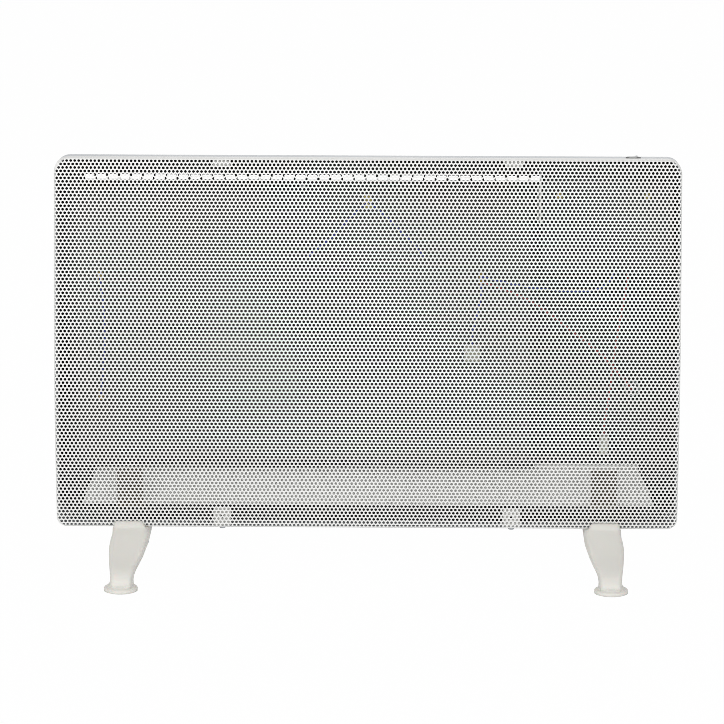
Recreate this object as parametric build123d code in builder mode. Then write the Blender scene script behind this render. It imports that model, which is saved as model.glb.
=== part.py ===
"""Free-standing radiant panel heater with a bowed perforated steel front.

Millimetres, +Z up. The heater stands on Z = 0 with its front towards -Y and +X to the right of
someone looking at the front. The origin lies on the floor, midway between the four foot discs.
"""

import os
from math import atan2, cos, degrees, radians, sin, sqrt, tan

from build123d import *

os.makedirs("parts", exist_ok=True)

# Overall panel
panel_width = 702
panel_height = 420
floor_gap = 53
top_depth = 38
back_y = 29
corner_top = 16
corner_bottom = 12

# Side profile of the front: two flats that meet in a wide bend
knee_height = 165
upper_lean = 8.5
lower_lean = 6.5
knee_radius = 650

# Perforated front sheet
sheet = 1.0
bend_radius = 3.0
flange_depth = 12
fit_gap = 0.15
screw_clear = 0.2
thread_clear = 0.05
hole_pitch = 4.5
hole_size = 3.0
holes_per_opening = 12
plain_margin = 16

# Rear shell
wall = 1.0
back_radius = 8
rim_setback = 3.0
slot_pitch = 13.2
slot_length = 10.6
slot_height = 6.2
outlet_left = -316
outlet_right = 191
outlet_drop = 27
inlet_length = 22
inlet_width = 5
inlet_pitch = 30
inlet_y = 10
inlet_spread = 14

# Heat shield
shield_gap = 4
shield_sheet = 0.8
shield_clear = 3
shield_side_gap = 1
shield_wing_y = -4
shield_bend = 2
spacer_radius = 5

# Mica elements in their frame
element_left = -336
element_right = 190
element_bottom_drop = 64
element_top_drop = 35
element_y = 0
rail = 8
channel = 0.8
mica = 1.0
ribbon_thick = 0.4
ribbon_width = 7
ribbon_gap = 5
ribbon_edge = 9
mica_grip = 3
standoff_radius = 4
standoff_x = (-260, -73, 114)
rear_screw_radius = 2.0
rear_head_radius = 4.0
rear_head = 2.2

# Bottom rail and air deflector
rail_y = -6
rail_top = 22
deflector_sheet = 0.8
deflector_lower_half = 326
deflector_upper_half = 308
deflector_rise = 37
deflector_lip = 4
deflector_lap = 5
rail_foot = 10

# Control box
box_left = 197
box_right = 342
box_bottom_drop = 128
box_top_drop = 27
box_front_y = -5
box_wall = 2
box_corner = 4
box_screw_x = (214.8, 313.2)
box_screw_drop = 41
box_screw_radius = 1.75
box_head_radius = 4.2
box_boss_radius = 4.2
wire_entry_x = 284
wire_entry_width = 26
wire_entry_depth = 6
baffle_drop = 73
baffle_height = 55
baffle_y = -8
baffle_foot = 8
baffle_foot_height = 34

# Thermostat
thermostat_x = 258
thermostat_drop = 78
thermostat_size = 30
thermostat_depth = 17
shaft_radius = 3.0
shaft_clearance = 0.05
bush_radius = 4.8
bush_reach = 3
nut_size = 13
nut_thick = 2
shaft_reach = 14
shaft_depth = 8
knob_radius = 18
knob_length = 15
knob_draft = 3
knob_gap = 0.6
knob_edge = 1.5
flute_radius = 1.8
flute_count = 14
dial_radius = 25
dial_thick = 1.2
thermostat_screw_spread = 11
thermostat_screw_radius = 1.5
knob_sweep = 270

# Pilot lamp
lamp_x = 308
lamp_radius = 4
lamp_length = 16
lamp_rim = 1.6

# Power switch in the top
switch_x = 297
switch_y = 13
switch_length = 17
switch_width = 11
bezel_thick = 0.8
bezel_rim = 1.6
switch_body_depth = 17
rocker_clear = 0.55
rocker_travel = 14
rocker_depth = 5
rocker_proud = 1.4
pivot_drop = 2.2
pivot_radius = 0.9
pivot_clearance = 0.05
switch_shell = 1.1

# Electrical pieces
cutout_x = 118
cutout_height = 197.5
cutout_size = 18
cutout_depth = 6
tab_width = 6.3
tab_length = 12
tab_thick = 0.8
tab_left_x = -301
tab_right_x = 128
lower_tab_z = 200
upper_tab_z = 336
tilt_x = 268
tilt_height = 91.5
tilt_width = 10
tilt_length = 22
tilt_depth = 12
bracket_sheet = 1.2
block_length = 36
block_width = 16
block_depth = 12
block_x = 225
block_rise = 14
block_screw_radius = 2.5
gland_x = 300
gland_height = 152
gland_radius = 7
gland_flange = 2.5
gland_out = 12
gland_in = 8
gland_bore = 3.4
gland_shield_gap = 2
wire_radius = 1.25
wire_y = -4
wire_over = 3
wire_tail = 14
clip_height = 371
clip_width = 9
clip_length = 16
clip_thick = 3

# Tabs that hold the front sheet
tab_x = 163.5
lug_width = 20
lug_height = 20
lug_sheet = 1.2
lug_y = -25.5
top_lug_y = -4
top_lug_height = 8
front_screw_radius = 1.75
front_head_radius = 3.6
front_head = 2.0

# Feet
foot_top_x = 268.5
foot_disc_x = 275.5
disc_y = 107
disc_radius = 19
disc_thick = 5
disc_edge = 2
ankle_radius = 13
ankle_height = 18
ankle_blend = 4
foot_top_width = 35
foot_wide = 40
foot_wide_height = 38
lip_front = 5.5
lip_back = 20
lip_thick = 5
lip_gap = 0.4
saddle_thick = 17
arch_rise = 9
leg_edge = 3
leg_knee_y = -62
leg_knee_z = 44
grip_radius = 15
grip_thick = 1.5
grip_recess = 0.8
foot_screw_radius = 3
foot_screw_head = 9
foot_screw_head_thick = 4
foot_bracket_width = 30
foot_bracket_depth = 25.6
foot_bracket_height = 14
foot_boss_radius = 5
bracket_y = 8
bracket_plate = 2

# Derived heights and depths
panel_bottom = floor_gap
panel_top = floor_gap + panel_height
panel_middle = floor_gap + panel_height / 2
half_width = panel_width / 2
knee_z = panel_bottom + knee_height
front_top_y = back_y - top_depth
knee_y = front_top_y - (panel_height - knee_height) * tan(radians(upper_lean))
front_bottom_y = knee_y + knee_height * tan(radians(lower_lean))
shell_inset = sheet + fit_gap
shell_bottom = panel_bottom + shell_inset
shell_top = panel_top - shell_inset
inner_back_y = back_y - wall
shield_back_y = inner_back_y - shield_gap
shield_front_y = shield_back_y - shield_sheet
shield_half = half_width - shell_inset - wall
shield_bottom = shell_bottom + wall + shield_clear
shield_top = shell_top - wall - shield_clear
outlet_z = panel_top - outlet_drop
element_bottom = panel_bottom + element_bottom_drop
element_top = panel_top - element_top_drop
element_middle_x = (element_left + element_right) / 2
element_back_y = element_y + 2 * mica + ribbon_thick
frame_front_y = element_y - channel
frame_back_y = element_back_y + channel
mica_height = (element_top - element_bottom - 3 * rail) / 2
lower_mica_z = element_bottom + rail + mica_height / 2
upper_mica_z = element_top - rail - mica_height / 2
box_bottom = panel_top - box_bottom_drop
box_top = panel_top - box_top_drop
thermostat_z = panel_top - thermostat_drop
gland_z = panel_bottom + gland_height
tilt_z = panel_bottom + tilt_height
cutout_z = panel_bottom + cutout_height
saddle_top = panel_bottom
lug_screw_y = front_bottom_y + (bend_radius + flange_depth) / 2
body_length = switch_length - 2 * bezel_rim
body_width = switch_width - 2 * bezel_rim
far = 400


def write(piece, label):
    piece.part.label = label
    export_step(piece.part, f"parts/{label}.step")


def bowed_block(front_shift, back, inset, bend=0, back_round=0):
    """The solid behind the bowed front, cut to the rounded outline of the panel."""
    low, high = panel_bottom + inset, panel_top - inset
    bottom_y = front_bottom_y + front_shift - inset * tan(radians(lower_lean))
    top_y = front_top_y + front_shift - inset * tan(radians(upper_lean))
    with BuildPart() as block:
        with BuildSketch(Plane.YZ) as side:
            with BuildLine():
                Polyline(
                    (back, low),
                    (bottom_y, low),
                    (knee_y + front_shift, knee_z),
                    (top_y, high),
                    (back, high),
                    close=True,
                )
            make_face()
            fillet(side.vertices().sort_by(Axis.X)[0], knee_radius)
        extrude(amount=half_width - inset, both=True)
        with BuildSketch(Plane.XZ) as outline:
            with Locations((0, panel_middle)):
                Rectangle(panel_width - 2 * inset, panel_height - 2 * inset)
            fillet(outline.vertices().group_by(Axis.Y)[-1], corner_top - inset)
            fillet(outline.vertices().group_by(Axis.Y)[0], corner_bottom - inset)
        extrude(amount=far, both=True, mode=Mode.INTERSECT)
        if back_round:
            fillet(block.faces().sort_by(Axis.Y)[-1].edges(), back_round)
        if bend:
            front = block.faces().filter_by(lambda face: face.normal_at().Y < -0.9)
            walls = block.faces().filter_by(lambda face: abs(face.normal_at().Y) < 0.1)
            wall_edges = walls.edges()
            fillet(front.edges().filter_by(lambda edge: edge in wall_edges), bend)
    return block.part


def region_behind(front_shift):
    """Everything behind a surface that follows the bow of the front, across the whole width."""
    low, high = panel_bottom - 1, panel_top + 1
    with BuildPart() as region:
        with BuildSketch(Plane.YZ) as side:
            with BuildLine():
                Polyline(
                    (far, low),
                    (front_bottom_y + front_shift, low),
                    (knee_y + front_shift, knee_z),
                    (front_top_y + front_shift, high),
                    (far, high),
                    close=True,
                )
            make_face()
            fillet(side.vertices().sort_by(Axis.X)[0], knee_radius)
        extrude(amount=half_width + 1, both=True)
    return region.part


# Front sheet: a shallow tray with a bowed face, open at the back
sheet_outside = bowed_block(0, back_y, 0, bend=bend_radius)
sheet_inside = bowed_block(sheet, back_y, sheet, bend=bend_radius - sheet)
behind_flange = region_behind(flange_depth)

# The real sheet has 3 mm holes 4.5 mm apart. Each opening here stands for a patch of them, with the
# same 60 degree stagger and the same share of open area.
opening_pitch = holes_per_opening * hole_pitch
opening_size = holes_per_opening * hole_size
row_pitch = opening_pitch * sqrt(3) / 2
opening_rows = int((panel_height - 2 * plain_margin - opening_size) / row_pitch) + 1
opening_columns = int((panel_width - 2 * plain_margin - opening_size) / opening_pitch) + 1

with BuildPart() as grille:
    add(sheet_outside)
    add(sheet_inside, mode=Mode.SUBTRACT)
    add(behind_flange, mode=Mode.SUBTRACT)
    with BuildSketch(Plane.XZ):
        for row in range(opening_rows):
            row_z = panel_middle + (row - (opening_rows - 1) / 2) * row_pitch
            with Locations((0, row_z)):
                with GridLocations(opening_pitch, 1, opening_columns - row % 2, 1):
                    RegularPolygon(opening_size / 2, 6, major_radius=False, rotation=30)
    extrude(amount=far, mode=Mode.SUBTRACT)
    with Locations(Plane.XY.offset(panel_bottom)):
        with Locations((-tab_x, lug_screw_y), (tab_x, lug_screw_y)):
            Cylinder(front_screw_radius + screw_clear, 2 * sheet + 2, mode=Mode.SUBTRACT)
write(grille, "grille")

# Rear shell: a pressed pan that nests inside the tray of the front sheet
shell_outside = bowed_block(rim_setback, back_y, shell_inset, back_round=back_radius)
shell_inside = bowed_block(
    -rim_setback, inner_back_y, shell_inset + wall, back_round=back_radius - wall
)
outlet_count = int((outlet_right - outlet_left) / slot_pitch) + 1
outlet_middle = (outlet_left + outlet_right) / 2
inlet_count = int(2 * (foot_top_x - foot_wide) / inlet_pitch) + 1
rear_screws_at = [
    (x, z) for x in standoff_x for z in (element_bottom + rail / 2, element_top - rail / 2)
]

with BuildPart() as rear_shell:
    add(shell_outside)
    add(shell_inside, mode=Mode.SUBTRACT)
    with BuildSketch(Plane.XZ.offset(-back_y - 1)):
        with Locations((outlet_middle, outlet_z)):
            with GridLocations(slot_pitch, 1, outlet_count, 1):
                Rectangle(slot_length, slot_height)
        with Locations(*rear_screws_at):
            Circle(rear_screw_radius + screw_clear)
        with Locations((thermostat_x, thermostat_z)):
            Circle(bush_radius + screw_clear)
        with Locations((lamp_x, thermostat_z)):
            Circle(lamp_radius + screw_clear)
        with Locations((gland_x, gland_z)):
            Circle(gland_radius + screw_clear)
    extrude(amount=wall + 2, mode=Mode.SUBTRACT)
    with BuildSketch(Plane.XY.offset(shell_bottom - 1)):
        with Locations((0, inlet_y)):
            with GridLocations(inlet_pitch, inlet_spread, inlet_count, 2):
                Rectangle(inlet_length, inlet_width)
        with Locations((-foot_top_x, 0), (foot_top_x, 0)):
            Circle(foot_screw_radius + screw_clear)
        with Locations((-tab_x, lug_screw_y), (tab_x, lug_screw_y)):
            Circle(front_screw_radius + screw_clear)
    extrude(amount=wall + 2, mode=Mode.SUBTRACT)
    with BuildSketch(Plane.XY.offset(shell_top - wall - 1)):
        with Locations((switch_x, switch_y)):
            SlotOverall(body_length + 2 * screw_clear, body_width + 2 * screw_clear)
    extrude(amount=wall + 2, mode=Mode.SUBTRACT)
write(rear_shell, "rear_shell")

# Lugs inside the four edges of the front sheet
with BuildPart() as front_lugs:
    for side in (-1, 1):
        low = shell_bottom + wall
        high = shell_top - wall
        with BuildSketch(Plane.YZ.offset(side * tab_x)):
            with BuildLine():
                Polyline(
                    (lug_y, low),
                    (lug_y + lug_width / 2, low),
                    (lug_y + lug_width / 2, low + lug_sheet),
                    (lug_y + lug_sheet, low + lug_sheet),
                    (lug_y + lug_sheet, low + lug_height),
                    (lug_y, low + lug_height),
                    close=True,
                )
            make_face()
            with BuildLine():
                Polyline(
                    (top_lug_y, high),
                    (top_lug_y + lug_width / 2, high),
                    (top_lug_y + lug_width / 2, high - lug_sheet),
                    (top_lug_y + lug_sheet, high - lug_sheet),
                    (top_lug_y + lug_sheet, high - top_lug_height),
                    (top_lug_y, high - top_lug_height),
                    close=True,
                )
            make_face()
        extrude(amount=lug_width / 2, both=True)
        with Locations((side * tab_x, lug_screw_y, low)):
            Cylinder(front_screw_radius + screw_clear, 4 * lug_sheet, mode=Mode.SUBTRACT)
        with Locations(Location((side * tab_x, lug_y, low + lug_height / 2), (90, 0, 0))):
            Cylinder(front_screw_radius, 4 * lug_sheet, mode=Mode.SUBTRACT)
write(front_lugs, "front_lugs")

with BuildPart() as front_screws:
    for side in (-1, 1):
        with BuildSketch(Plane.XY.offset(panel_bottom)):
            with Locations((side * tab_x, lug_screw_y)):
                Circle(front_head_radius)
        extrude(amount=-front_head)
        with BuildSketch(Plane.XY.offset(panel_bottom)):
            with Locations((side * tab_x, lug_screw_y)):
                Circle(front_screw_radius)
        extrude(amount=3 * wall + 2 * lug_sheet)
    chamfer(front_screws.faces().group_by(Axis.Z)[0].edges(), front_head / 3)
write(front_screws, "front_screws")

# Heat shield: black sheet with bent sides, held off the back wall by spacers
shield_width = 2 * (shield_half - shield_side_gap)
with BuildPart() as heat_shield:
    with BuildSketch(Plane.XY.offset(shield_bottom)) as shield_section:
        with Locations((0, (shield_back_y + shield_wing_y) / 2)):
            Rectangle(shield_width, shield_back_y - shield_wing_y)
        fillet(shield_section.vertices().group_by(Axis.Y)[-1], shield_bend)
        with Locations((0, (shield_front_y + shield_wing_y) / 2)):
            Rectangle(
                shield_width - 2 * shield_sheet,
                shield_front_y - shield_wing_y,
                mode=Mode.SUBTRACT,
            )
    extrude(amount=shield_top - shield_bottom)
    with BuildSketch(Plane.XZ) as shield_outline:
        with Locations((0, (shield_bottom + shield_top) / 2)):
            Rectangle(shield_width, shield_top - shield_bottom)
        fillet(shield_outline.vertices(), corner_top)
    extrude(amount=far, both=True, mode=Mode.INTERSECT)
    with BuildSketch(Plane.XZ.offset(-shield_back_y - 1)):
        with Locations((outlet_middle, outlet_z)):
            with GridLocations(slot_pitch, 1, outlet_count, 1):
                Rectangle(slot_length, slot_height)
        with Locations(*rear_screws_at):
            Circle(rear_screw_radius + screw_clear)
        with Locations((thermostat_x, thermostat_z)):
            Circle(bush_radius + screw_clear)
        with Locations((lamp_x, thermostat_z)):
            Circle(lamp_radius + screw_clear)
        with Locations((gland_x, gland_z)):
            Circle(gland_radius + gland_shield_gap)
        with Locations(*[(x, panel_top - box_screw_drop) for x in box_screw_x]):
            Circle(box_screw_radius + screw_clear)
    extrude(amount=shield_sheet + 2, mode=Mode.SUBTRACT)
write(heat_shield, "heat_shield")

with BuildPart() as shield_spacers:
    with BuildSketch(Plane.XZ.offset(-inner_back_y)):
        with Locations(*rear_screws_at):
            Circle(spacer_radius)
            Circle(rear_screw_radius + screw_clear, mode=Mode.SUBTRACT)
    extrude(amount=shield_gap)
write(shield_spacers, "shield_spacers")

# Element frame: three rails and two stiles, grooved for the mica sheets
element_width = element_right - element_left
window_width = element_width - 2 * rail
mica_sheet_width = window_width + 2 * mica_grip
mica_sheet_height = mica_height + 2 * mica_grip
mica_middles = [(element_middle_x, lower_mica_z), (element_middle_x, upper_mica_z)]

with BuildPart() as element_frame:
    with BuildSketch(Plane.XZ.offset(-frame_back_y)):
        with Locations((element_middle_x, (element_bottom + element_top) / 2)):
            Rectangle(element_width, element_top - element_bottom)
        with Locations(*mica_middles):
            Rectangle(window_width, mica_height, mode=Mode.SUBTRACT)
    extrude(amount=frame_back_y - frame_front_y)
    with BuildSketch(Plane.XZ.offset(-element_back_y)):
        with Locations(*mica_middles):
            Rectangle(mica_sheet_width, mica_sheet_height)
    extrude(amount=element_back_y - element_y, mode=Mode.SUBTRACT)
write(element_frame, "element_frame")

for place, (middle_x, middle_z) in zip(("lower", "upper"), mica_middles):
    with BuildPart() as mica_front:
        with BuildSketch(Plane.XZ.offset(-element_y - mica)):
            with Locations((middle_x, middle_z)):
                Rectangle(mica_sheet_width, mica_sheet_height)
        extrude(amount=mica)
    write(mica_front, f"mica_front_{place}")

    with BuildPart() as mica_back:
        with BuildSketch(Plane.XZ.offset(-element_back_y)):
            with Locations((middle_x, middle_z)):
                Rectangle(mica_sheet_width, mica_sheet_height)
        extrude(amount=mica)
    write(mica_back, f"mica_back_{place}")

    # The resistance ribbon runs to and fro across the sheet in one unbroken strip
    run_length = window_width - 2 * ribbon_edge
    run_step = ribbon_width + ribbon_gap
    run_count = int((mica_height - 2 * ribbon_edge + ribbon_gap) / run_step) // 2 * 2
    first_run = middle_z - (run_count - 1) * run_step / 2
    with BuildPart() as ribbon:
        with BuildSketch(Plane.XZ.offset(-element_y - mica - ribbon_thick)):
            for run in range(run_count):
                with Locations((middle_x, first_run + run * run_step)):
                    Rectangle(run_length, ribbon_width)
            for turn in range(run_count - 1):
                end_x = (run_length - ribbon_width) / 2 * (1 if turn % 2 else -1)
                with Locations((middle_x + end_x, first_run + (turn + 0.5) * run_step)):
                    Rectangle(ribbon_width, run_step + ribbon_width)
        extrude(amount=ribbon_thick)
    write(ribbon, f"heating_ribbon_{place}")

with BuildPart() as standoffs:
    with BuildSketch(Plane.XZ.offset(-shield_front_y)):
        with Locations(*rear_screws_at):
            Circle(standoff_radius)
            Circle(rear_screw_radius + thread_clear, mode=Mode.SUBTRACT)
    extrude(amount=shield_front_y - frame_back_y)
write(standoffs, "element_standoffs")

with BuildPart() as rear_screws:
    with BuildSketch(Plane.XZ.offset(-back_y)):
        with Locations(*rear_screws_at):
            Circle(rear_head_radius)
    extrude(amount=-rear_head)
    chamfer(rear_screws.faces().group_by(Axis.Y)[-1].edges(), rear_head / 3)
    with BuildSketch(Plane.XZ.offset(-back_y)):
        with Locations(*rear_screws_at):
            Circle(rear_screw_radius)
    extrude(amount=back_y - frame_back_y - 2)
write(rear_screws, "rear_screws")

# Bottom rail and the sloping air deflector that it carries
bottom_rail_low = shell_bottom + wall
bottom_rail_high = panel_bottom + rail_top
with BuildPart() as bottom_rail:
    with BuildSketch(Plane.YZ) as rail_section:
        with BuildLine():
            Polyline(
                (rail_y, bottom_rail_low),
                (rail_y + rail_foot, bottom_rail_low),
                (rail_y + rail_foot, bottom_rail_low + deflector_sheet),
                (rail_y + deflector_sheet, bottom_rail_low + deflector_sheet),
                (rail_y + deflector_sheet, bottom_rail_high),
                (rail_y, bottom_rail_high),
                close=True,
            )
        make_face()
    extrude(amount=shield_width / 2 - corner_bottom, both=True)
    with Locations((-foot_top_x, 0, bottom_rail_low), (foot_top_x, 0, bottom_rail_low)):
        Box(foot_bracket_width + 1, far, 4 * deflector_sheet, mode=Mode.SUBTRACT)
write(bottom_rail, "bottom_rail")

deflector_low_y = rail_y + deflector_sheet
slope = atan2(deflector_rise, shield_front_y - deflector_low_y)
lift = deflector_sheet / cos(slope)
with BuildPart() as air_deflector:
    with BuildSketch(Plane.YZ) as deflector_section:
        with BuildLine():
            Polyline(
                (deflector_low_y, bottom_rail_high - deflector_lap),
                (deflector_low_y + deflector_sheet, bottom_rail_high - deflector_lap),
                (deflector_low_y + deflector_sheet, bottom_rail_high + deflector_sheet * tan(slope)),
                (shield_front_y, bottom_rail_high + deflector_rise),
                (shield_front_y, bottom_rail_high + deflector_rise + deflector_lip),
                (
                    shield_front_y - deflector_sheet,
                    bottom_rail_high + deflector_rise + deflector_lip,
                ),
                (
                    shield_front_y - deflector_sheet,
                    bottom_rail_high + deflector_rise + lift - deflector_sheet * tan(slope),
                ),
                (deflector_low_y, bottom_rail_high + lift),
                close=True,
            )
        make_face()
    extrude(amount=deflector_lower_half, both=True)
    with BuildSketch(Plane.XZ):
        with BuildLine():
            Polyline(
                (-deflector_lower_half, bottom_rail_high - deflector_lap),
                (deflector_lower_half, bottom_rail_high - deflector_lap),
                (deflector_lower_half, bottom_rail_high),
                (deflector_upper_half, bottom_rail_high + deflector_rise),
                (deflector_upper_half, bottom_rail_high + 2 * deflector_rise),
                (-deflector_upper_half, bottom_rail_high + 2 * deflector_rise),
                (-deflector_upper_half, bottom_rail_high + deflector_rise),
                close=True,
            )
        make_face()
    extrude(amount=far, both=True, mode=Mode.INTERSECT)
write(air_deflector, "air_deflector")

# Control box: a moulded cover, open at the back, over the thermostat and terminals
box_middle = ((box_left + box_right) / 2, (box_bottom + box_top) / 2)
box_screws_at = [(x, panel_top - box_screw_drop) for x in box_screw_x]
with BuildPart() as control_box:
    with BuildSketch(Plane.XZ.offset(-shield_front_y)):
        with Locations(box_middle):
            RectangleRounded(box_right - box_left, box_top - box_bottom, box_corner)
    extrude(amount=shield_front_y - box_front_y)
    with BuildSketch(Plane.XZ.offset(-shield_front_y)):
        with Locations(box_middle):
            RectangleRounded(
                box_right - box_left - 2 * box_wall,
                box_top - box_bottom - 2 * box_wall,
                box_corner - box_wall,
            )
    extrude(amount=shield_front_y - box_front_y - box_wall, mode=Mode.SUBTRACT)
    with BuildSketch(Plane.XZ.offset(-shield_front_y)):
        with Locations(*box_screws_at):
            Circle(box_boss_radius)
    extrude(amount=shield_front_y - box_front_y)
    with BuildSketch(Plane.XZ.offset(-shield_front_y)):
        with Locations(*box_screws_at):
            Circle(box_screw_radius + screw_clear)
    extrude(amount=shield_front_y - box_front_y, mode=Mode.SUBTRACT)
    with BuildSketch(Plane.XY.offset(box_bottom)):
        with Locations((wire_entry_x, wire_y + 2 * box_wall)):
            Rectangle(wire_entry_width, wire_entry_depth)
    extrude(amount=box_wall, mode=Mode.SUBTRACT)
write(control_box, "control_box")

with BuildPart() as box_screws:
    with BuildSketch(Plane.XZ.offset(-box_front_y)):
        with Locations(*box_screws_at):
            Circle(box_head_radius)
    extrude(amount=rear_head)
    chamfer(box_screws.faces().group_by(Axis.Y)[0].edges(), rear_head / 3)
    with BuildSketch(Plane.XZ.offset(-box_front_y)):
        with Locations(*box_screws_at):
            Circle(box_screw_radius)
    extrude(amount=box_front_y - shield_back_y - 1)
write(box_screws, "box_screws")

baffle_x = (element_right + box_left) / 2
with BuildPart() as side_baffle:
    with BuildSketch(Plane.XY.offset(panel_top - baffle_drop)):
        with Locations((baffle_x, (shield_front_y + baffle_y) / 2)):
            Rectangle(bracket_sheet, shield_front_y - baffle_y)
    extrude(amount=baffle_height)
    with BuildSketch(Plane.XY.offset(panel_top - baffle_drop)):
        with Locations((baffle_x - baffle_foot / 2, shield_front_y - bracket_sheet / 2)):
            Rectangle(baffle_foot, bracket_sheet)
    extrude(amount=baffle_foot_height)
write(side_baffle, "side_baffle")

# Thermostat: body with a threaded bush through the back, shaft and knob turn together
with BuildPart() as thermostat:
    with BuildSketch(Plane.XZ.offset(-shield_front_y)):
        with Locations((thermostat_x, thermostat_z)):
            RectangleRounded(thermostat_size, thermostat_size, 2)
    extrude(amount=thermostat_depth)
    with BuildSketch(Plane.XZ.offset(-shield_front_y)):
        with Locations((thermostat_x, thermostat_z)):
            Circle(bush_radius)
    extrude(amount=shield_front_y - back_y - bush_reach)
    with BuildSketch(Plane.XZ.offset(-back_y - bush_reach)):
        with Locations((thermostat_x, thermostat_z)):
            Circle(shaft_radius + shaft_clearance)
    extrude(amount=back_y + bush_reach - shield_front_y + shaft_depth, mode=Mode.SUBTRACT)
write(thermostat, "thermostat")

with BuildPart() as thermostat_nut:
    with BuildSketch(Plane.XZ.offset(-back_y)):
        with Locations((thermostat_x, thermostat_z)):
            RegularPolygon(nut_size / 2, 6, major_radius=False)
            Circle(bush_radius + thread_clear, mode=Mode.SUBTRACT)
    extrude(amount=-nut_thick)
write(thermostat_nut, "thermostat_nut")

with BuildPart() as dial_plate:
    with BuildSketch(Plane.XZ.offset(-back_y)):
        with Locations((thermostat_x, thermostat_z)):
            Circle(dial_radius)
            Circle(nut_size / 2 + 2, mode=Mode.SUBTRACT)
    extrude(amount=-dial_thick)
    chamfer(dial_plate.faces().sort_by(Axis.Y)[-1].outer_wire().edges(), dial_thick / 2)
write(dial_plate, "dial_plate")

knob_y = back_y + dial_thick + knob_gap
with BuildPart() as thermostat_shaft:
    with BuildSketch(Plane.XZ.offset(-knob_y - shaft_reach)):
        with Locations((thermostat_x, thermostat_z)):
            Circle(shaft_radius)
    extrude(amount=knob_y + shaft_reach - shield_front_y + shaft_depth - knob_gap)
write(thermostat_shaft, "thermostat_shaft")

with BuildPart() as thermostat_knob:
    with BuildSketch(Plane.XZ.offset(-knob_y)):
        with Locations((thermostat_x, thermostat_z)):
            Circle(knob_radius)
    extrude(amount=-knob_length, taper=knob_draft)
    chamfer(thermostat_knob.faces().sort_by(Axis.Y)[-1].edges(), knob_edge)
    with BuildSketch(Plane.XZ.offset(-knob_y)):
        with Locations((thermostat_x, thermostat_z)):
            with PolarLocations(knob_radius + flute_radius / 2, flute_count):
                Circle(flute_radius)
    extrude(amount=-knob_length, mode=Mode.SUBTRACT)
    with BuildSketch(Plane.XZ.offset(-knob_y)):
        with Locations((thermostat_x, thermostat_z)):
            Circle(nut_size / 2 + 2)
    extrude(amount=-bush_reach - knob_gap, mode=Mode.SUBTRACT)
    with BuildSketch(Plane.XZ.offset(-knob_y)):
        with Locations((thermostat_x, thermostat_z)):
            Circle(shaft_radius)
    extrude(amount=-shaft_reach, mode=Mode.SUBTRACT)
write(thermostat_knob, "thermostat_knob")

with BuildPart() as pilot_lamp:
    with BuildSketch(Plane.XZ.offset(-back_y)):
        with Locations((lamp_x, thermostat_z)):
            Circle(lamp_radius + 1.5)
    extrude(amount=-lamp_rim)
    fillet(pilot_lamp.faces().sort_by(Axis.Y)[-1].edges(), lamp_rim / 2)
    with BuildSketch(Plane.XZ.offset(-back_y)):
        with Locations((lamp_x, thermostat_z)):
            Circle(lamp_radius)
    extrude(amount=lamp_length)
write(pilot_lamp, "pilot_lamp")

# Power switch: oval body dropped into the top wall, rocker on its own two pins
pivot_z = shell_top - pivot_drop
with BuildPart() as power_switch:
    with BuildSketch(Plane.XY.offset(shell_top)):
        with Locations((switch_x, switch_y)):
            SlotOverall(switch_length, switch_width)
    extrude(amount=bezel_thick)
    chamfer(power_switch.faces().sort_by(Axis.Z)[-1].edges(), bezel_thick / 2)
    with BuildSketch(Plane.XY.offset(shell_top)):
        with Locations((switch_x, switch_y)):
            SlotOverall(body_length, body_width)
    extrude(amount=-switch_body_depth)
    with BuildSketch(Plane.XY.offset(shell_top + bezel_thick)):
        with Locations((switch_x, switch_y)):
            SlotOverall(body_length - 2 * switch_shell, body_width - 2 * switch_shell)
    extrude(amount=-bezel_thick - pivot_drop - 2 * rocker_depth, mode=Mode.SUBTRACT)
    with Locations(Location((switch_x, switch_y, pivot_z), (90, 0, 0))):
        Cylinder(pivot_radius + pivot_clearance, body_width - 1, mode=Mode.SUBTRACT)
write(power_switch, "power_switch")

# The rocker is drawn level and leaned to its off position about the pins
rocker_length = body_length - 2 * switch_shell - 2 * rocker_clear
rocker_width = body_width - 2 * switch_shell - 2 * rocker_clear
rocker_lean = rocker_travel / 2
off_plane = Plane(
    origin=(switch_x, switch_y, pivot_z),
    x_dir=(cos(radians(rocker_lean)), 0, sin(radians(rocker_lean))),
    z_dir=(-sin(radians(rocker_lean)), 0, cos(radians(rocker_lean))),
)
with BuildPart() as power_rocker:
    with BuildSketch(off_plane.offset(-rocker_depth / 2)):
        SlotOverall(rocker_length, rocker_width)
    extrude(amount=rocker_depth / 2 + pivot_drop + bezel_thick + rocker_proud)
    dip = rocker_length / 2 * tan(radians(rocker_lean))
    crown = pivot_drop + bezel_thick + rocker_proud
    with BuildSketch(Plane(off_plane.origin, x_dir=off_plane.x_dir, z_dir=(0, -1, 0))):
        with BuildLine():
            Polyline(
                (-rocker_length, crown + dip),
                (-rocker_length / 2, crown),
                (0, crown - dip),
                (rocker_length / 2, crown),
                (rocker_length, crown + dip),
                (rocker_length, crown + 2 * dip),
                (-rocker_length, crown + 2 * dip),
                close=True,
            )
        make_face()
    extrude(amount=switch_width, both=True, mode=Mode.SUBTRACT)
    with Locations(Location((switch_x, switch_y, pivot_z), (90, 0, 0))):
        Cylinder(pivot_radius, body_width - 1.4)
write(power_rocker, "power_rocker")

# Thermal cut-out on the lower element, and tabs that end the element windings
with BuildPart() as thermal_cutout:
    with BuildSketch(Plane.XZ.offset(-element_y)):
        with Locations((cutout_x, cutout_z)):
            RectangleRounded(cutout_size, cutout_size, 1.5)
    extrude(amount=cutout_depth)
    chamfer(thermal_cutout.faces().sort_by(Axis.Y)[0].edges(), 1)
write(thermal_cutout, "thermal_cutout")

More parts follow.
